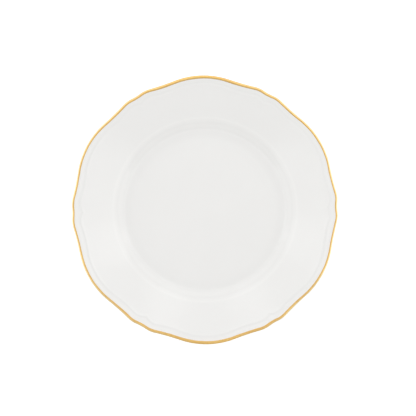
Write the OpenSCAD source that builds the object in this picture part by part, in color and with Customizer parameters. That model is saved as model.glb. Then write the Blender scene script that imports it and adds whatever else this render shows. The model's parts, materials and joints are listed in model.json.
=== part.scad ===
// China dinner plate with a scalloped, gilded edge. Millimetres, +Z up.
// The origin is the centre of the plane that the foot ring stands on.

/* [Plate] */
// Size across two opposite lobes, over the gold
plate_d = 267; // [230:1:330]
// Height of the lip at the lobes, over the gold
plate_h = 22; // [17:0.1:28]

/* [Well] */
// Corner where the flat floor starts to rise, across the plate
floor_d = 148; // [128:1:176]
// Floor thickness at the middle, glazed on both sides
floor_t = 4.8; // [3:0.1:6]
// Width of the gentle apron between floor and wall
apron_w = 7; // [6:0.5:9]
// Rise of the apron
apron_h = 1; // [0.8:0.1:1.2]
// Width of the lower part of the wall
lower_wall_w = 6; // [5:0.5:9]
// Rise of the lower part of the wall
lower_wall_h = 2.3; // [2:0.1:3]
// Width of the upper part of the wall, which leans back more
upper_wall_w = 4.7; // [3.5:0.1:6]
// Rise of the upper part of the wall
upper_wall_h = 1.4; // [1.2:0.1:2]
// Rounding between floor and apron
floor_round = 60; // [20:1:64]
// Rounding between apron and wall
wall_round = 12; // [5:1:15]
// Rounding at the step half way up the wall
step_round = 4; // [1:0.5:6]
// Rounding of the crest, where the wall turns into the rim
crest_round = 6; // [1:0.5:10]

/* [Rim] */
// Wall thickness where the rim leaves the well
rim_t = 3.7; // [2.5:0.1:4.5]
// Thickness of the lip, without the gold
lip_t = 2.4; // [1.8:0.1:3]
// How far outside the crest the underside bends into the rim
bend_out = 1; // [0:0.5:3]
// Rounding of that bend
bend_round = 8; // [3:0.5:12]

/* [Foot] */
// How far the foot stands inside the floor's corner
foot_inset = 3.5; // [2:0.5:8]
// Width of the foot ring at its base
foot_w = 4.2; // [3:0.1:6]
// Height of the hollow inside the foot ring
foot_h = 2.6; // [1.5:0.1:4]
// Height of the foot ring on its outer side
foot_outer_h = 2.4; // [1.5:0.1:3.5]
// How far each side of the foot leans
foot_draft = 0.9; // [0.3:0.1:1.5]
// Rounding of the foot's two lower edges
foot_round = 1.2; // [0.5:0.1:1.4]
// Rounding where the foot's outer side meets the underside
foot_outer_round = 2; // [0.5:0.5:3]
// Rounding where the foot's inner side meets the hollow
foot_inner_round = 1.8; // [0.5:0.1:2.4]

/* [Scalloped edge] */
// Radius of each lobe's arc
lobe_r = 80.7; // [64:0.1:97]
// How far the two small bumps beside each notch stay inside the lobes
bump_drop = 1.2; // [0.8:0.1:2]
// Angle from a notch to the bumps beside it
bump_a = 4.2; // [3.5:0.1:5]
// Radius of each bump
bump_r = 27; // [22:0.5:33]
// Radius of the hollow between a lobe and a bump
valley_r = 264; // [180:1:320]
// Radius of the shallow notch between two bumps
notch_r = 47; // [30:1:57]

/* [Moulded line] */
// Distance from the edge to the line, at a lobe
line_in = 9.2; // [7:0.1:12]
// Radius of the line's lobes
line_lobe_r = 66.7; // [55:0.1:80]
// How much further in the line's bumps stay than its lobes
line_bump_drop = 1.5; // [1:0.1:2]
// Angle from a notch to the line's bumps
line_bump_a = 4.4; // [3.6:0.1:5.2]
// Radius of the line's bumps, which meet in a sharp cusp at each notch
line_bump_r = 13.3; // [11:0.1:16]
// Radius of the line's hollows
line_valley_r = 118; // [90:1:145]
// Width of the raised line
line_w = 1.4; // [1:0.1:2]
// Height of the raised line
line_h = 0.35; // [0.3:0.05:0.5]

/* [Glaze and gold] */
// Thickness of the glaze
glaze_t = 0.3; // [0.2:0.05:0.5]
// Height of the foot's bare band, where the glaze was wiped off
bare_h = 0.9; // [0.6:0.1:1.1]
// Thickness of the gold
gold_t = 0.1; // [0.08:0.01:0.15]
// Width of the gold on the face
gold_face_w = 2; // [1:0.1:3]
// Width of the gold under the lip
gold_under_w = 1; // [0.5:0.1:2]

/* [Hidden] */
$fn = 180;

// Number of lobes, which the radii of the edge's arcs were chosen for
lobes = 6;
lobe_pitch = 360 / lobes;
plate_r = plate_d / 2;
// How far the outline's short chords may lie inside its arcs
arc_sag = 0.05;
// Degrees between points on a rounded corner of the section
round_step = 6;
// The least rounding that a corner keeps when the section is moved in
least_round = 0.05;
// How far the section runs past the lobes before the scalloped edge cuts it
overrun = 3;
// How deep the moulded line is rooted in the rim, and how far outside the crest its blank starts
line_root = 1;
line_start = 1;

floor_z = foot_h + floor_t;
floor_r = floor_d / 2;
wall_r = floor_r + apron_w;
wall_z = floor_z + apron_h;
step_r = wall_r + lower_wall_w;
step_z = wall_z + lower_wall_h;
crest_r = step_r + upper_wall_w;
crest_z = step_z + upper_wall_h;
bend_r = crest_r + bend_out;
cut_r = plate_r + overrun;
// The rim's face rises by rim_rise for each millimetre outwards
rim_rise = (plate_h - gold_t - crest_z) / (plate_r - crest_r);
rim_thinning = (rim_t - lip_t) / (plate_r - crest_r);

foot_r = floor_r - foot_inset;
foot_in_r = foot_r - foot_w;
foot_mid_r = foot_r - foot_w / 2;
floor_mid_z = foot_h + floor_t / 2;
// A tall block that reaches past the plate above and below
tall = 3 * plate_h;

function unit(v) = v / norm(v);
// A path's right-hand side, which is the solid's side of the section
function right_of(d) = [d[1], -d[0]];
function polar(r, a) = [r * cos(a), r * sin(a)];

// Height of the rim's face at radius r, lowered square to the face by down
function rim_z(r, down = 0) =
    crest_z + (r - crest_r) * rim_rise - down * sqrt(1 + rim_rise * rim_rise);
function under_z(r) = rim_z(r) - rim_t + (r - crest_r) * rim_thinning;

// Corners of the glazed section, as [radius, height, rounding]:
// out over the face, then back underneath
function section_corners() = [
    [0, floor_z, 0],
    [floor_r, floor_z, floor_round],
    [wall_r, wall_z, wall_round],
    [step_r, step_z, step_round],
    [crest_r, crest_z, crest_round],
    [cut_r, rim_z(cut_r), 0],
    [cut_r, under_z(cut_r), 0],
    [bend_r, under_z(bend_r), bend_round],
    [foot_r + foot_draft, foot_outer_h, foot_outer_round],
    [foot_r, 0, foot_round],
    [foot_in_r, 0, foot_round],
    [foot_in_r - foot_draft, foot_h, foot_inner_round],
    [0, foot_h, 0]
];

// The same corners on a section that lies t inside this one
function moved_in(c, t) =
    let (
        last = len(c) - 1,
        d = [for (i = [0 : last - 1]) unit([c[i + 1][0] - c[i][0], c[i + 1][1] - c[i][1]])]
    )
    [for (i = [0 : last])
        let (
            before = d[max(i - 1, 0)],
            after = d[min(i, last - 1)],
            n = right_of(before),
            m = right_of(after),
            shift = t * (n + m) / (1 + n * m),
            hollow = cross(before, after) > 0
        )
        [c[i][0] + shift[0], c[i][1] + shift[1],
            c[i][2] == 0 ? 0 : hollow ? c[i][2] + t : max(c[i][2] - t, least_round)]
    ];

// The points of a path whose corners are rounded by tangent arcs
function rounded(c) = [
    for (i = [0 : len(c) - 1])
        if (c[i][2] == 0) [c[i][0], c[i][1]]
        else
            let (
                p = [c[i][0], c[i][1]],
                before = unit(p - [c[i - 1][0], c[i - 1][1]]),
                after = unit([c[i + 1][0], c[i + 1][1]] - p),
                turn = asin(cross(before, after)),
                side = turn > 0 ? 1 : -1,
                reach = c[i][2] * tan(abs(turn) / 2),
                centre = p - reach * before - side * c[i][2] * right_of(before),
                steps = max(ceil(abs(turn) / round_step), 1)
            )
            for (k = [0 : steps])
                let (a = turn * k / steps, q = side * c[i][2] * right_of(before))
                centre + [q[0] * cos(a) - q[1] * sin(a), q[0] * sin(a) + q[1] * cos(a)]
];

module section(inside) {
    rotate_extrude() polygon(rounded(moved_in(section_corners(), inside)));
}

// Centre of the circle that touches two others from outside, on the side away from the axis
function touching(a, a_r, b, b_r, r) =
    let (
        far = norm(b - a),
        u = (b - a) / far,
        along = (pow(a_r + r, 2) - pow(b_r + r, 2) + far * far) / (2 * far)
    )
    a + along * u - sqrt(pow(a_r + r, 2) - along * along) * right_of(u);

// Points along an arc of a circle from direction a to direction b, without the last one
function arc(c, r, a, b) =
    let (steps = max(ceil(abs(b - a) / (2 * acos(1 - arc_sag / r))), 1))
    [for (k = [0 : steps - 1]) c + polar(r, a + (b - a) * k / steps)];

function direction(v) = atan2(v[1], v[0]);

// Half of one lobe's outline, from a notch to the middle of the lobe, by tangent arcs
// grown outwards by grow. A notch radius of 0 leaves a sharp cusp.
function half_lobe(reach, lobe, bump_reach, angle, bump, valley, notch, grow) =
    let (
        middle = lobe_pitch / 2,
        lobe_c = polar(reach - lobe, middle),
        bump_c = polar(bump_reach - bump, angle),
        valley_c = touching(lobe_c, lobe, bump_c, bump, valley),
        notch_c = [bump_c[0] + sqrt(pow(bump + notch, 2) - pow(bump_c[1], 2)), 0],
        from_notch = notch > 0 ? direction(notch_c - bump_c) : asin(-bump_c[1] / (bump + grow)),
        to_valley = direction(valley_c - bump_c),
        to_lobe = direction(valley_c - lobe_c)
    )
    concat(
        notch > 0 ? arc(notch_c, notch - grow, 180, 180 + from_notch) : [],
        arc(bump_c, bump + grow, from_notch, to_valley),
        arc(valley_c, valley - grow, 180 + to_valley, 180 + to_lobe),
        arc(lobe_c, lobe + grow, to_lobe, middle)
    );

// The whole outline: each half lobe, then its mirror image, round the plate
module scallop(half, reach, grow) {
    count = len(half);
    middle = [polar(reach + grow, lobe_pitch / 2)];
    back = [for (i = [count - 1 : -1 : 1]) mirrored(half[i], lobe_pitch / 2)];
    lobe = concat(half, middle, back);
    polygon([for (k = [0 : lobes - 1]) for (p = lobe) turned(p, k * lobe_pitch)]);
}

function turned(p, a) = [p[0] * cos(a) - p[1] * sin(a), p[0] * sin(a) + p[1] * cos(a)];

// A point's mirror image in the line at angle a through the axis
function mirrored(p, a) = let (q = turned(p, -a)) turned([q[0], -q[1]], a);

// The plate's edge, moved in by inside
module edge(inside) {
    half = half_lobe(plate_r, lobe_r, plate_r - bump_drop, bump_a, bump_r,
        valley_r, notch_r, -inside);
    scallop(half, plate_r, -inside);
}

// The moulded line's middle, moved out by out, with a sharp cusp at each notch
module line_middle(out) {
    reach = plate_r - line_in;
    half = half_lobe(reach, line_lobe_r, reach - line_bump_drop, line_bump_a, line_bump_r,
        line_valley_r, 0, out);
    scallop(half, reach, out);
}

// The plate without its moulded line, with its surface moved in by inside and its edge by edge_inside
module blank(inside, edge_inside) {
    intersection() {
        section(inside);
        translate([0, 0, -plate_h]) linear_extrude(tall) edge(edge_inside);
    }
}

// The raised line, rooted in the rim, with its surface moved in by inside
module moulded_line(inside) {
    side = line_w / 2 - inside;
    top = inside - line_h;
    root = inside + line_root;
    start_r = crest_r + line_start;
    intersection() {
        rotate_extrude() polygon([
            [start_r, rim_z(start_r, root)],
            [cut_r, rim_z(cut_r, root)],
            [cut_r, rim_z(cut_r, top)],
            [start_r, rim_z(start_r, top)]
        ]);
        linear_extrude(tall) difference() {
            line_middle(side);
            line_middle(-side);
        }
    }
}

module plate(inside, edge_inside) {
    blank(inside, edge_inside);
    moulded_line(inside);
}

// Fired china, bare only at the foot
module porcelain_body() color([0.93, 0.92, 0.89]) {
    plate(glaze_t, gold_t + glaze_t);
    bare_foot();
}

// The lowest band of the foot, which has no glaze
module bare_foot() {
    intersection() {
        section(0);
        cylinder(r = floor_r, h = bare_h);
    }
}

// The hollow side of the foot ring and everything within it, up to the middle of the floor
module inside_foot() {
    cylinder(r = foot_mid_r, h = floor_mid_z);
}

// Glaze over the face and the lip, and underneath as far as the foot
module face_glaze() color([0.97, 0.97, 0.96]) difference() {
    plate(0, gold_t);
    porcelain_body();
    inside_foot();
}

// Glaze in the hollow inside the foot ring
module foot_recess_glaze() color([0.95, 0.96, 0.96]) difference() {
    intersection() {
        section(0);
        inside_foot();
    }
    section(glaze_t);
    bare_foot();
}

// Gold fired on the glaze, round the lip from the face to the underside
module gilded_edge() color([0.83, 0.62, 0.25]) {
    lip_middle = plate_h - gold_t - lip_t / 2;
    difference() {
        intersection() {
            blank(-gold_t, 0);
            union() {
                gold_band(gold_face_w, lip_middle, tall);
                gold_band(gold_under_w, 0, lip_middle);
            }
        }
        blank(0, gold_t);
    }
}

// A band in from the edge, between two heights
module gold_band(width, from, to) {
    translate([0, 0, from]) linear_extrude(to - from) difference() {
        edge(0);
        edge(width);
    }
}

porcelain_body();
face_glaze();
foot_recess_glaze();
gilded_edge();
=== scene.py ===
import json
import math

import bpy
import numpy as np
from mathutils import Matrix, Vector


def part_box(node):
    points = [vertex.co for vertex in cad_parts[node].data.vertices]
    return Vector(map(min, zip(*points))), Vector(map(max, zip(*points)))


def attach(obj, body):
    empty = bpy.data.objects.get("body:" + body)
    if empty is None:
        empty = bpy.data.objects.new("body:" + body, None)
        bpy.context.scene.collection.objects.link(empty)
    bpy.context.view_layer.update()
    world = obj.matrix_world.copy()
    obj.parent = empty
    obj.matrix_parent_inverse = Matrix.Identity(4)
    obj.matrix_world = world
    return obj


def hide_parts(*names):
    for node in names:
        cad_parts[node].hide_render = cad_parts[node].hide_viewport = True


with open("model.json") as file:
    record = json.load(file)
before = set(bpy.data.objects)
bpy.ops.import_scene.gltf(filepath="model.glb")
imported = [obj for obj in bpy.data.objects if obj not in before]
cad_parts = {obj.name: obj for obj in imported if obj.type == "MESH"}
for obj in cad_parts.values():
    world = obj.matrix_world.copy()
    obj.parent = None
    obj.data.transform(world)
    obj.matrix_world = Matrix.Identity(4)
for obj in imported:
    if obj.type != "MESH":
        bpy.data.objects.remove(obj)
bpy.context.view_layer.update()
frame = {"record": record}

# ---------------------------------------------------------------------------- china body
# One piece of hard white china, jiggered over a turning plaster mould that gives the face its
# well, crest, moulded line and scalloped edge, while a profile tool turns the underside and foot.
# After the biscuit firing it is glazed all over, and only the foot's land is wiped bare again.

MM = 0.001
DEG = math.pi / 180

# Heights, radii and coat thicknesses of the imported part, in millimetres
mounts = {m["name"]: m["pos_m"] for m in frame["record"]["mounts"]}
plate_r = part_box("gilded_edge")[1].y / MM
plate_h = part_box("gilded_edge")[1].z / MM
well_z = mounts["well_floor"][2] / MM
foot_mid_r = mounts["foot_ring"][0] / MM
bare_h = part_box("foot_recess_glaze")[0].z / MM
glaze_t = 0.3
hollow_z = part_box("foot_recess_glaze")[1].z / MM - glaze_t
gold_t = plate_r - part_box("face_glaze")[1].y / MM

# The face from the well to the rim, as radius, height and rounding of each corner. A gentle slope
# leads from the flat floor to the foot of the wall, and the wall leans back at its step.
floor_corner = [74.0, well_z, 60.0]
wall_foot = [81.0, well_z + 1.0, 12.0]
wall_step = [87.0, well_z + 3.3, 4.0]
crest = [91.7, well_z + 4.7, 6.0]
rim_rise = (plate_h - gold_t - crest[1]) / (plate_r - crest[0])

# The underside from the lip to the foot ring, whose sides lean by foot_draft
rim_t = 3.7
lip_t = 2.4
bend_r = crest[0] + 1.0
bend_round = 8.0
foot_w = 4.2
foot_draft = 0.9
foot_outer_h = 2.4
foot_round = 1.2
foot_outer_round = 2.0
foot_inner_round = 1.8
foot_r = foot_mid_r + foot_w / 2
foot_in_r = foot_mid_r - foot_w / 2

# The lobes of the outline, with a shallow notch and two small bumps where two lobes meet
lobes = 6
lobe_turn = 360 * DEG / lobes
stations_in_lobe = 90
station = np.arange(lobes * stations_in_lobe) * lobe_turn / stations_in_lobe
from_notch = np.abs((station + lobe_turn / 2) % lobe_turn - lobe_turn / 2)


def rim_height(r):
    return crest[1] + (r - crest[0]) * rim_rise


def under_height(r):
    return rim_height(r) - rim_t + (r - crest[0]) * (rim_t - lip_t) / (plate_r - crest[0])


def polar(r, a):
    return r * complex(math.cos(a), math.sin(a))


def half_lobe(far, lobe_r, bump_drop, bump_a, bump_r, valley_r, notch_r):
    """Half a lobe's outline from a notch on, as centre and radius of four arcs that meet smoothly.

    far is the lobe's reach from the axis, and bump_a the bump's angle from the notch in degrees."""
    lobe_c = polar(far - lobe_r, lobe_turn / 2)
    bump_c = polar(far - bump_drop - bump_r, bump_a * DEG)
    apart = abs(bump_c - lobe_c)
    toward = (bump_c - lobe_c) / apart
    along = ((lobe_r + valley_r) ** 2 - (bump_r + valley_r) ** 2 + apart ** 2) / (2 * apart)
    valley_c = lobe_c + toward * (along + 1j * math.sqrt((lobe_r + valley_r) ** 2 - along ** 2))
    notch_c = complex(bump_c.real + math.sqrt((bump_r + notch_r) ** 2 - bump_c.imag ** 2))
    return (notch_c, notch_r), (bump_c, bump_r), (valley_c, valley_r), (lobe_c, lobe_r)


def reach(outline, out):
    """How far from the axis the outline lies at each station, once it is moved outwards by out."""
    notch, bump, valley, lobe = outline

    def meeting(bulge, hollow):
        way = (hollow[0] - bulge[0]) / abs(hollow[0] - bulge[0])
        return np.angle(bulge[0] + (bulge[1] + out) * way)

    def cut(arc, side):
        turn = from_notch - np.angle(arc[0])
        height = abs(arc[0]) * np.sin(turn)
        half = np.sqrt(np.maximum((arc[1] + side * out) ** 2 - height ** 2, 0))
        return abs(arc[0]) * np.cos(turn) + side * half

    return np.select(
        [from_notch < meeting(bump, notch), from_notch < meeting(bump, valley),
         from_notch < meeting(lobe, valley)],
        [cut(notch, -1), cut(bump, 1), cut(valley, -1)], cut(lobe, 1))


edge = half_lobe(plate_r, lobe_r=80.7, bump_drop=1.2, bump_a=4.2, bump_r=27.0,
                 valley_r=264.0, notch_r=47.0)
line_in = 9.2
line = half_lobe(plate_r - line_in, lobe_r=66.7, bump_drop=1.5, bump_a=4.4, bump_r=13.3,
                 valley_r=118.0, notch_r=0.0)

# The moulded line as it stands off the rim's slope: distance outside its middle, and height.
# It swells up on its inner side and falls into a shallow groove outside.
relief = np.array([
    (-2.2, 0.0), (-1.4, 0.009), (-0.8, 0.026), (-0.3, 0.047), (0.1, 0.062), (0.4, 0.064),
    (0.7, 0.054), (1.0, 0.034), (1.4, 0.0), (1.8, -0.024), (2.2, -0.034), (2.7, -0.033),
    (3.2, -0.02), (3.8, -0.006), (4.4, 0.0)])

# How far in from the edge the lip starts to round over
lip_in = 3.4


def rounded(corners, step):
    """Points along a path of radius, height and rounding, each corner turned by a tangent arc.

    step is the most that an arc turns from one point to the next, in degrees."""
    points = []
    for i, (r, z, rounding) in enumerate(corners):
        here = complex(r, z)
        if rounding == 0:
            points.append(here)
            continue
        before = here - complex(*corners[i - 1][:2])
        after = complex(*corners[i + 1][:2]) - here
        before, after = before / abs(before), after / abs(after)
        turn = np.angle(after / before)
        arm = rounding * np.sign(turn) * before * -1j
        centre = here - rounding * math.tan(abs(turn) / 2) * before - arm
        steps = math.ceil(abs(turn) / DEG / step)
        points += [centre + arm * np.exp(1j * turn * k / steps) for k in range(steps + 1)]
    return points


def evened(points, longest):
    """The same path with more points, so that none is farther than longest from the next."""
    out = [points[0]]
    for a, b in zip(points, points[1:]):
        parts = math.ceil(abs(b - a) / longest)
        out += [a + (b - a) * (k + 1) / parts for k in range(parts)]
    return out


def ring(radii, heights):
    """One ring of points round the plate, in millimetres."""
    radii = radii + 0 * station
    return np.stack([radii * np.cos(station), radii * np.sin(station), heights + 0 * station], 1)


def turned(points):
    return [ring(p.real, p.imag) for p in points]


def between(a, b, steps):
    """Steps from radii a towards radii b, without a itself."""
    return [a + (b - a) * (k + 1) / steps for k in range(steps)]


# The rings of the face: floor, wall and crest, then the rim as far as the lip. They lie close
# together over the wall, because the glaze's depth changes quickly there.
rim_start_r = 96.0
fine_from_r = 77.0
wide_apart = 9.0
close_together = 0.7
path = rounded([
    [0, well_z, 0], floor_corner, wall_foot, wall_step, crest,
    [rim_start_r, rim_height(rim_start_r), 0]], step=3.0)
fine_from = next(i for i, p in enumerate(path) if p.real > fine_from_r)
face = turned(evened(path[:fine_from + 1], wide_apart)
              + evened(path[fine_from:], close_together)[1:])
inner_line = reach(line, relief[0][0])
face += [ring(r, rim_height(r)) for r in between(rim_start_r, inner_line, steps=7)]
line_ring = len(face) - 1
face += [ring(r, rim_height(r) + up) for r, up in
         ((reach(line, out), up) for out, up in relief[1:])]
lip_r = reach(edge, -gold_t - lip_in)
outer_line = reach(line, relief[-1][0])
face += [ring(r, rim_height(r)) for r in between(outer_line, lip_r, steps=3)]


def lip(out, steps, start=90.0, end=-90.0):
    """Rings round the lip from the face to the underside, standing out by out from the glaze.

    start and end are in degrees, and may differ from station to station."""
    rings = []
    for a in np.linspace(start, end, steps) * DEG:
        r = reach(edge, -gold_t + out - (lip_in + out) * (1 - np.cos(a)))
        half = (rim_height(r) - under_height(r)) / 2
        rings.append(ring(r, under_height(r) + half + (half + out) * np.sin(a)))
    return rings


# The rings round the lip and over the underside, to the line where glaze was wiped off the foot
face += lip(0, steps=17)[1:]
under_start_r = 104.0
under_apart = 7.0
face += [ring(r, under_height(r)) for r in between(lip_r, under_start_r, steps=5)]
foot_way = complex(foot_draft, foot_outer_h)
glaze_line = complex(foot_r, 0) + foot_way * bare_h / foot_outer_h
face += turned(evened(rounded([
    [under_start_r, under_height(under_start_r), 0],
    [bend_r, under_height(bend_r), bend_round],
    [foot_r + foot_draft, foot_outer_h, foot_outer_round],
    [glaze_line.real, glaze_line.imag, 0]], step=5.0), under_apart))[1:]

# The rings of the hollow inside the foot, from the wiped line to the middle
hollow_way = complex(-foot_draft, hollow_z)
hollow_line = complex(foot_in_r, 0) + hollow_way * bare_h / hollow_z
hollow = turned(evened(rounded([
    [hollow_line.real, hollow_line.imag, 0],
    [foot_in_r - foot_draft, hollow_z, foot_inner_round],
    [0, hollow_z, 0]], step=5.0), wide_apart))


def sunk(rings, depths):
    """Rings that lie the given depths below a surface, measured square to it."""
    nothing = 1e-9
    grid = np.array(rings)
    along = np.gradient(grid, axis=0)
    round_ = np.roll(grid, -1, 1) - np.roll(grid, 1, 1)
    normal = np.cross(along, round_)
    size = np.linalg.norm(normal, axis=2, keepdims=True)
    normal = np.where(size > nothing, normal / np.maximum(size, nothing), 0)
    for end, beside in ((0, 1), (-1, -2)):
        if size[end].max() < nothing:
            normal[end] = [0, 0, np.sign(normal[beside][0, 2])]
    return list(grid - normal * np.asarray(depths)[:, None, None])


def build(name, rings, closed=False, **marks):
    """A mesh whose skin joins the rings in turn. A ring on the axis becomes a single point.

    closed joins the last ring to the first. marks holds values for each ring, by attribute name."""
    count = len(station)
    smallest_ring = 1e-6
    sharp_from = 55 * DEG
    points = []
    starts = []
    used = 0
    for r in rings:
        on_axis = np.ptp(r[:, :2]) < smallest_ring
        starts.append((used, on_axis))
        points.append(r[:1] if on_axis else r)
        used += len(points[-1])
    faces = []
    pairs = list(zip(starts, starts[1:] + starts[:1]))
    for (a, a_point), (b, b_point) in pairs if closed else pairs[:-1]:
        if a_point and b_point:
            continue
        for j in range(count):
            k = (j + 1) % count
            if a_point:
                faces.append((a, b + j, b + k))
            elif b_point:
                faces.append((a + j, b, a + k))
            else:
                faces.append((a + j, b + j, b + k, a + k))
    mesh = bpy.data.meshes.new(name)
    mesh.from_pydata(np.concatenate(points) * MM, [], faces)
    mesh.shade_smooth()
    mesh.set_sharp_from_angle(angle=sharp_from)
    for mark, per_ring in marks.items():
        values = np.concatenate(
            [np.broadcast_to(v, count)[:len(p)] for v, p in zip(per_ring, points)])
        layer = mesh.attributes.new(mark, "FLOAT", "POINT")
        layer.data.foreach_set("value", values.astype(np.float32))
    piece = bpy.data.objects.new(name, mesh)
    bpy.context.scene.collection.objects.link(piece)
    return piece


def thinning(count, length):
    """Glaze depths that run out to nothing over the last rings before a wiped line."""
    left = np.minimum(np.arange(count)[::-1] / length, 1)
    return glaze_t * np.sqrt(1 - (1 - left) ** 2)


def sparser(rings):
    """Every second ring, and the last one in any case."""
    return rings[::2] if len(rings) % 2 else rings[::2] + rings[-1:]


# The body lies under the glaze, and comes out from under it only at the foot's bare band. It
# needs half as many rings as the glaze, except for the last ones on either side of the foot.
run_out = 3
kept_outside = 6
kept_inside = 4
face_bed = sunk(face, thinning(len(face), run_out))
hollow_bed = sunk(hollow, thinning(len(hollow), run_out)[::-1])
land = turned(rounded([
    [glaze_line.real, glaze_line.imag, 0], [foot_r, 0, foot_round], [foot_in_r, 0, foot_round],
    [hollow_line.real, hollow_line.imag, 0]], step=9.0))
body = build("china_body", face_bed[:-kept_outside:2] + face_bed[-kept_outside:] + land[1:-1]
             + hollow_bed[:kept_inside] + sparser(hollow_bed[kept_inside:]))


def material(name):
    """A new material, its node tree and its shader."""
    made = bpy.data.materials.new(name)
    made.use_nodes = True
    tree = made.node_tree
    return made, tree, tree.nodes["Principled BSDF"]


def add(tree, kind, **settings):
    """A new node. Each setting goes to the input of that name, or to the node itself."""
    node = tree.nodes.new(kind)
    for key, value in settings.items():
        if key in node.inputs:
            node.inputs[key].default_value = value
        else:
            setattr(node, key, value)
    return node


def noise(tree, where, scale, detail=2.0, roughness=0.5):
    """A noise over the places given, with scale in lumps for each of their units."""
    made = add(tree, "ShaderNodeTexNoise", Scale=scale, Detail=detail, Roughness=roughness)
    tree.links.new(where, made.inputs["Vector"])
    return made.outputs["Fac"]


def ranged(tree, value, low, high, to_low, to_high):
    """A value that goes smoothly from to_low to to_high as the one given goes from low to high."""
    made = add(tree, "ShaderNodeMapRange", interpolation_type="SMOOTHSTEP")
    for key, number in (("From Min", low), ("From Max", high), ("To Min", to_low), ("To Max", to_high)):
        made.inputs[key].default_value = number
    tree.links.new(value, made.inputs["Value"])
    return made.outputs["Result"]


def blended(tree, share, a, b):
    """A colour between a and b, which are either colours or sockets.

    The node keeps sockets for every kind of value, and 6 and 7 in and 2 out are the colours."""
    made = add(tree, "ShaderNodeMix", data_type="RGBA")
    for socket, value in ((made.inputs[0], share), (made.inputs[6], a), (made.inputs[7], b)):
        if isinstance(value, bpy.types.NodeSocket):
            tree.links.new(value, socket)
        else:
            socket.default_value = value
    return made.outputs[2]


def summed(tree, a, b, share=1.0):
    """The sum of a and a share of b."""
    made = add(tree, "ShaderNodeMath", operation="MULTIPLY_ADD")
    tree.links.new(b, made.inputs[0])
    made.inputs[1].default_value = share
    tree.links.new(a, made.inputs[2])
    return made.outputs[0]


def place(tree):
    """The place on the piece, in object metres."""
    return add(tree, "ShaderNodeTexCoord").outputs["Object"]


# Bare china: a fine grain, a broad mottle of two creams, and grey dust caught in the grain
biscuit, tree, shader = material("bare_fired_china")
warm_cream = (0.80, 0.77, 0.70, 1)
pale_cream = (0.86, 0.84, 0.79, 1)
dust_grey = (0.52, 0.49, 0.44, 1)
where = place(tree)
grain = noise(tree, where, scale=5200, detail=3, roughness=0.6)
mottle = ranged(tree, noise(tree, where, scale=260, detail=3), 0.35, 0.65, 0, 1)
dust = ranged(tree, noise(tree, where, scale=2400, detail=1), 0.68, 0.78, 0, 0.5)
shade = blended(tree, mottle, warm_cream, pale_cream)
tree.links.new(blended(tree, dust, shade, dust_grey), shader.inputs["Base Color"])
tree.links.new(ranged(tree, grain, 0.3, 0.7, 0.62, 0.85), shader.inputs["Roughness"])
bump = add(tree, "ShaderNodeBump", Strength=0.5, Distance=0.00006)
tree.links.new(grain, bump.inputs["Height"])
tree.links.new(bump.outputs["Normal"], shader.inputs["Normal"])
body.data.materials.append(biscuit)
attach(body, "root")
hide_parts("porcelain_body")

# ---------------------------------------------------------------------------- face glaze
# A clear glossy glaze a third of a millimetre thick, dipped and fired on, over the whole face,
# round the lip and down the underside to the foot, where a sponge wiped its lower edge.
# Its colour is darker in the hollows and lighter over the crest and the moulded line: partly the glaze
# gathering and thinning, partly painted shade in the hollows and painted highlight on the crest and the
# line.

# How deep the glaze lies, from 0 where it's thinnest to 1 where it's deepest. Pools and thinner places
# add to usual_depth, as middle and width in millimetres and amount on the same 0 to 1 scale. On the
# face they also paint light: their darker rings are painted shade and their lighter rings are painted
# highlight.
usual_depth = 0.5
# Painted light in the glaze's colour, partly real gathering and thinning: darker at the floor's edge
# and at the step as painted shade, lighter at the foot of the wall, over the lower wall and round the
# crest as painted highlight
wall_pools_and_painted_light = (
    (wall_foot[0] - 5, 6.0, 0.25),
    (wall_foot[0] - 1, 1.0, -0.16),
    (wall_step[0] - 2.7, 2.5, -0.26),
    (wall_step[0] + 0.3, 1.0, 0.15),
    (crest[0] - 2.2, 1.4, -0.1),
    (crest[0] - 0.2, 1.2, -0.33))
# Painted highlight on the moulded line and painted shade in the groove outside it, partly real thinning
# and gathering of the glaze
line_pools_and_painted_light = (
    (0.3, 0.7, -0.1),
    (2.6, 1.2, 0.29))


def pooled_and_painted_light(x, pools):
    """How much deeper pools and thinner places make the glaze at x, carrying the painted shade and
    highlight of the face.
    """
    return sum(amount * np.exp(-((x - middle) / width) ** 2) for middle, width, amount in pools)


inside_face = sparser(face_bed)
shell = face + inside_face[-2::-1]
# These marks carry the glaze's real gathering together with the painted shade and painted highlight of
# the pools
depth = [usual_depth + pooled_and_painted_light(np.hypot(r[:, 0], r[:, 1]), wall_pools_and_painted_light) for r in face]
for k, (out, _) in enumerate(relief):
    depth[line_ring + k] += pooled_and_painted_light(out, line_pools_and_painted_light)
depth += [usual_depth] * (len(inside_face) - 1)
glaze = build("face_glaze_coat", shell, glaze_depth=depth)


def product(tree, a, b):
    """The product of two values."""
    made = add(tree, "ShaderNodeMath", operation="MULTIPLY")
    tree.links.new(a, made.inputs[0])
    tree.links.new(b, made.inputs[1])
    return made.outputs[0]


# Fired glaze, shared by both coats: faint clouding, deeper tone where it gathers, a softly uneven
# surface, and a very little polish lost where cutlery and other plates rub. On the face, the deeper and
# lighter tones are partly painted shade in the hollows and painted highlight on the crest and the
# moulded line.
fired = bpy.data.node_groups.new("fired_glaze", "ShaderNodeTree")
for side, kind, title in (
        ("INPUT", "NodeSocketColor", "Thin Glaze And Highlight"), ("INPUT", "NodeSocketColor", "Gathered Glaze And Shade"),
        ("INPUT", "NodeSocketFloat", "Depth"), ("INPUT", "NodeSocketFloat", "Polish"),
        ("INPUT", "NodeSocketFloat", "Rubbing"), ("INPUT", "NodeSocketVector", "Place"),
        ("OUTPUT", "NodeSocketColor", "Colour"), ("OUTPUT", "NodeSocketFloat", "Roughness"),
        ("OUTPUT", "NodeSocketFloat", "Height")):
    fired.interface.new_socket(title, in_out=side, socket_type=kind)
given = add(fired, "NodeGroupInput")
gives = add(fired, "NodeGroupOutput")
where = given.outputs["Place"]

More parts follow.
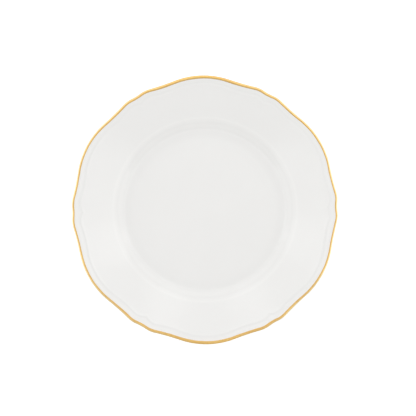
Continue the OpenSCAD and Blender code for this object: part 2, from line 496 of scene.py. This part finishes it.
# Colour: the two tones by how deep the glaze lies, clouded a little, with a rare brown speck of iron.
# The darker tone is partly painted shade and the lighter partly painted highlight.
cloud = ranged(fired, noise(fired, where, scale=34, detail=3), 0.3, 0.7, -0.5, 0.5)
deep_and_painted_light = summed(fired, given.outputs["Depth"], cloud, share=0.1)
tone = blended(fired, deep_and_painted_light, given.outputs["Thin Glaze And Highlight"], given.outputs["Gathered Glaze And Shade"])
speck_cells = add(fired, "ShaderNodeTexVoronoi", Scale=95.0)
fired.links.new(where, speck_cells.inputs["Vector"])
speck = product(fired, ranged(fired, speck_cells.outputs["Distance"], 0.012, 0.03, 1, 0),
                ranged(fired, speck_cells.outputs["Color"], 0.93, 0.95, 0, 1))
iron_brown = (0.55, 0.5, 0.42, 1)
fired.links.new(blended(fired, speck, tone, iron_brown), gives.inputs["Colour"])

# Roughness: the polish, drifting a little, with long fine scratches where it is rubbed
scratch_place = add(fired, "ShaderNodeMapping", Scale=(1, 7, 1), Rotation=(0, 0, 0.6))
fired.links.new(where, scratch_place.inputs["Vector"])
scratches = add(fired, "ShaderNodeTexVoronoi", feature="DISTANCE_TO_EDGE", Scale=70.0)
fired.links.new(scratch_place.outputs[0], scratches.inputs["Vector"])
scratch = ranged(fired, scratches.outputs["Distance"], 0.0, 0.02, 1, 0)
drift = ranged(fired, noise(fired, where, scale=9, detail=2), 0.3, 0.7, -1, 1)
soft = summed(fired, given.outputs["Polish"], drift, share=0.012)
rubbed = product(fired, scratch, given.outputs["Rubbing"])
fired.links.new(summed(fired, soft, rubbed, share=0.05), gives.inputs["Roughness"])

# Height: a fine orange peel on a wider, deeper swell
peel = noise(fired, where, scale=420, detail=1)
swell = noise(fired, where, scale=60, detail=1)
fired.links.new(summed(fired, peel, swell, share=4.0), gives.inputs["Height"])


def from_axis(tree, where):
    """How far a place is from the plate's axis, in metres."""
    flat = add(tree, "ShaderNodeVectorMath", operation="MULTIPLY")
    flat.inputs[1].default_value = (1, 1, 0)
    tree.links.new(where, flat.inputs[0])
    away = add(tree, "ShaderNodeVectorMath", operation="LENGTH")
    tree.links.new(flat.outputs[0], away.inputs[0])
    return away.outputs["Value"]


def marked(tree, mark):
    """The value that the mesh carries under the name of a mark."""
    return add(tree, "ShaderNodeAttribute", attribute_name=mark).outputs["Fac"]


def glaze_material(name, thin_and_highlight, gathered_and_shade, polish, rubbing_r):
    """A coat of the fired glaze, rubbed as far as rubbing_r metres from the axis.

    The rubbing fades out over the last fifth of that way."""
    made, tree, shader = material(name)
    coat = add(tree, "ShaderNodeGroup", node_tree=fired)
    coat.inputs["Thin Glaze And Highlight"].default_value = thin_and_highlight
    coat.inputs["Gathered Glaze And Shade"].default_value = gathered_and_shade
    coat.inputs["Polish"].default_value = polish
    tree.links.new(marked(tree, "glaze_depth"), coat.inputs["Depth"])
    where = place(tree)
    tree.links.new(where, coat.inputs["Place"])
    rubbing = ranged(tree, from_axis(tree, where), rubbing_r * 0.8, rubbing_r, 1, 0)
    tree.links.new(rubbing, coat.inputs["Rubbing"])
    bump = add(tree, "ShaderNodeBump", Strength=0.3, Distance=0.00001)
    tree.links.new(coat.outputs["Height"], bump.inputs["Height"])
    tree.links.new(bump.outputs["Normal"], shader.inputs["Normal"])
    tree.links.new(coat.outputs["Colour"], shader.inputs["Base Color"])
    tree.links.new(coat.outputs["Roughness"], shader.inputs["Roughness"])
    shader.inputs["IOR"].default_value = 1.5
    return made


# The lighter colour also serves as painted highlight and the darker as painted shade, through the marks
# of the pools
glaze.data.materials.append(glaze_material(
    "face_glaze_finish", thin_and_highlight=(0.896, 0.891, 0.874, 1), gathered_and_shade=(0.832, 0.827, 0.813, 1),
    polish=0.09, rubbing_r=floor_corner[0] * MM))
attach(glaze, "root")
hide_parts("face_glaze")

# ---------------------------------------------------------------------------- foot glaze
# The same dip of glaze in the shallow hollow inside the foot ring, wiped back from the land.
# It pools a little deeper in the corner between the hollow and the foot.

corner_pools = ((foot_in_r - 2, 3.0, 0.4),)
hollow_shell = hollow + sparser(hollow_bed)[:0:-1]
hollow_depth = [usual_depth + pooled_and_painted_light(np.hypot(r[0, 0], r[0, 1]), corner_pools) for r in hollow_shell]
foot_coat = build("foot_hollow_glaze_coat", hollow_shell, closed=True, glaze_depth=hollow_depth)
foot_coat.data.materials.append(glaze_material(
    "foot_glaze_finish", thin_and_highlight=(0.850, 0.853, 0.846, 1), gathered_and_shade=(0.815, 0.830, 0.826, 1),
    polish=0.11, rubbing_r=foot_in_r * MM))
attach(foot_coat, "root")
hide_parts("foot_recess_glaze")

# ---------------------------------------------------------------------------- gilded edge
# Burnished gold, brushed by hand round the lip on the fired glaze while the plate turned, then
# fixed in a cooler firing. It is wider on the face than underneath, and its inner margin wavers.
# Hands have rubbed it narrower at the two sides, along X, and its crown there is painted paler as a
# painted highlight.

gold_face_w = 2.8
gold_under_w = 1.05
side_loss = 0.4
waver = -side_loss * np.cos(2 * station)
for waves_round, amount, phase in ((11, 0.07, 0.4), (23, 0.05, 2.1), (47, 0.035, 1.2), (83, 0.02, 5.0)):
    waver += amount * np.sin(waves_round * station + phase)

# How far round the lip the gold reaches on the face and underneath, in degrees
face_turn = np.arccos(1 - (gold_face_w + waver) / (lip_in + gold_t)) / DEG
under_turn = -np.arccos(1 - gold_under_w / (lip_in + gold_t)) / DEG + 0 * station

# The gold swells from its inner margin to full thickness, and its back bites into the glaze
bite = 0.02
film_rings = 22
swell_rings = 4
film = []
for k, turn in enumerate(np.linspace(face_turn, under_turn, film_rings)):
    stands_out = gold_t * min(1, math.sqrt(k / swell_rings)) if k else -bite
    film += lip(stands_out, steps=1, start=turn, end=turn)
back = lip(-bite, steps=7, start=face_turn, end=under_turn)[:0:-1]
gold_rings = film + back

# Marks for the finish: across from the inner margin to the underside, once along the whole edge, and
# how strongly each place takes the painted highlight, most at the two sides
across = np.linspace(0, 1, len(film)).tolist() + [0.5] * len(back)
along = station / (2 * math.pi)
side_spread = 0.7
handled = (0.5 + 0.5 * np.cos(2 * station)) ** side_spread
gold = build("gilded_lip", gold_rings, closed=True, across=across,
             along=[along] * len(gold_rings), handled=[handled] * len(gold_rings))

# Brush streaks run along the edge. The gold is deeper in patches, brown where it thins out at its inner
# margin, and painted pale on the crown of the lip at the two sides as a painted highlight.
gilding, tree, shader = material("burnished_gold")
deep_gold = (0.80, 0.50, 0.155, 1)
bright_gold = (0.90, 0.62, 0.22, 1)
patch_gold = (0.76, 0.46, 0.14, 1)
margin_brown = (0.62, 0.38, 0.12, 1)
# A pale cream, painted on the lip's crown at the two sides as a painted highlight
highlight_gold = (1.0, 0.92, 0.68, 1)
streaks_round = 240.0
streaks_across = 9.0
along_edge = marked(tree, "along")
across_edge = marked(tree, "across")
strip = add(tree, "ShaderNodeCombineXYZ")
for value, scale, socket in ((along_edge, streaks_round, 0), (across_edge, streaks_across, 1)):
    stretch = add(tree, "ShaderNodeMath", operation="MULTIPLY")
    tree.links.new(value, stretch.inputs[0])
    stretch.inputs[1].default_value = scale
    tree.links.new(stretch.outputs[0], strip.inputs[socket])
streaks = noise(tree, strip.outputs[0], scale=1.0, detail=3, roughness=0.6)
patches = noise(tree, place(tree), scale=55, detail=2)
crown = product(tree, ranged(tree, across_edge, 0.2, 0.36, 0, 1),
                ranged(tree, across_edge, 0.5, 0.68, 1, 0))
# The painted highlight: the crown of the lip, most at the two sides along X
painted_highlight = product(tree, crown, marked(tree, "handled"))
tint = blended(tree, ranged(tree, streaks, 0.3, 0.7, 0, 1), deep_gold, bright_gold)
tint = blended(tree, ranged(tree, patches, 0.35, 0.7, 0, 0.6), tint, patch_gold)
tint = blended(tree, ranged(tree, across_edge, 0.03, 0.2, 0.8, 0), tint, margin_brown)
tint = blended(tree, painted_highlight, tint, highlight_gold)
tree.links.new(tint, shader.inputs["Base Color"])
tree.links.new(ranged(tree, streaks, 0.25, 0.75, 0.26, 0.42), shader.inputs["Roughness"])
shader.inputs["Metallic"].default_value = 1.0
bump = add(tree, "ShaderNodeBump", Strength=0.35, Distance=0.00003)
tree.links.new(streaks, bump.inputs["Height"])
tree.links.new(bump.outputs["Normal"], shader.inputs["Normal"])
gold.data.materials.append(gilding)
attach(gold, "root")
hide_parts("gilded_edge")

# ---------------------------------------------------------------------------- studio
# A wide white table that shows no edge: away from the plate it glows by itself, in place of lamps
# that flood it. Five soft panels hang over the plate in an arc from the right, round the back to the
# left, and a small soft disc hangs above its middle.

floor_half = 6.0
floor_mesh = bpy.data.meshes.new("white_table")
floor_mesh.from_pydata(
    [(-floor_half, -floor_half, 0), (floor_half, -floor_half, 0),
     (floor_half, floor_half, 0), (-floor_half, floor_half, 0)], [], [(0, 1, 2, 3)])
table = bpy.data.objects.new("white_table", floor_mesh)
bpy.context.scene.collection.objects.link(table)
paper, tree, shader = material("white_paper")
paper_shade = (0.9, 0.9, 0.9, 1)
paper_white = (0.93, 0.93, 0.93, 1)
where = place(tree)
fibres = ranged(tree, noise(tree, where, scale=900, detail=2), 0.4, 0.6, 0, 1)
tree.links.new(blended(tree, fibres, paper_shade, paper_white), shader.inputs["Base Color"])
shader.inputs["Roughness"].default_value = 0.9
shader.inputs["Specular IOR Level"].default_value = 0.0
shader.inputs["Emission Color"].default_value = (1, 1, 1, 1)
glow = ranged(tree, from_axis(tree, where), 0.25, 1.2, 0.35, 1.1)
tree.links.new(glow, shader.inputs["Emission Strength"])
floor_mesh.materials.append(paper)


def panel(name, azimuth, zenith, far, size, power, shape="RECTANGLE"):
    """A soft light that faces the plate from a direction in degrees, and isn't seen itself."""
    light = bpy.data.lights.new(name, "AREA")
    light.shape = shape
    light.size, light.size_y = size
    light.energy = power
    made = bpy.data.objects.new(name, light)
    flat = far * math.sin(zenith * DEG)
    made.location = (flat * math.cos(azimuth * DEG), flat * math.sin(azimuth * DEG),
                     far * math.cos(zenith * DEG))
    made.rotation_euler = (0, zenith * DEG, azimuth * DEG)
    made.visible_camera = False
    bpy.context.scene.collection.objects.link(made)


# Directions in degrees from X, distances in metres and powers in watts
for side, azimuth, power in (("near_right", -4, 2.9), ("right", 41, 2.1), ("back", 90, 2.1),
                             ("left", 139, 2.0), ("near_left", 184, 2.3)):
    panel("panel_" + side, azimuth, zenith=38, far=1.6, size=(1.2, 0.88), power=power)
panel("disc_above", 0, zenith=0, far=1.5, size=(0.21, 0.21), power=0.018, shape="DISK")

# The air is darker near the floor, and the camera sees it as white as the table
low_air = (0.41, 0.41, 0.41, 1)
high_air = (0.75, 0.75, 0.75, 1)
white_air = (1.2, 1.2, 1.2, 1)
world = bpy.data.worlds.new("studio_air")
bpy.context.scene.world = world
world.use_nodes = True
tree = world.node_tree
sky = tree.nodes["Background"]
rays = add(tree, "ShaderNodeLightPath")
level = add(tree, "ShaderNodeSeparateXYZ")
tree.links.new(add(tree, "ShaderNodeTexCoord").outputs["Generated"], level.inputs[0])
air = blended(tree, ranged(tree, level.outputs["Z"], 0.35, 0.65, 0, 1), low_air, high_air)
tree.links.new(blended(tree, rays.outputs["Is Camera Ray"], air, white_air), sky.inputs["Color"])

# The camera looks straight down with a long lens, turned a little. The middle of its view, which
# is view_w wide at the lip, lies a few millimetres to the right of the plate's middle and above it.
camera_h = 2.6
view_w = 0.4127
view_right = 3.125 * MM
view_up = 1.8353 * MM
view_turn = -1.3 * DEG
camera = bpy.data.cameras.new("camera")
camera.sensor_width = 36.0
camera.lens = camera.sensor_width * (camera_h - plate_h * MM) / view_w
camera.clip_start, camera.clip_end = 0.05, 50
camera.shift_x = view_right / view_w
camera.shift_y = view_up / view_w
seat = bpy.data.objects.new("camera", camera)
seat.location = (0, 0, camera_h)
seat.rotation_euler = (0, 0, view_turn)
bpy.context.scene.collection.objects.link(seat)
bpy.context.scene.camera = seat
bpy.context.scene.view_settings.view_transform = "Standard"
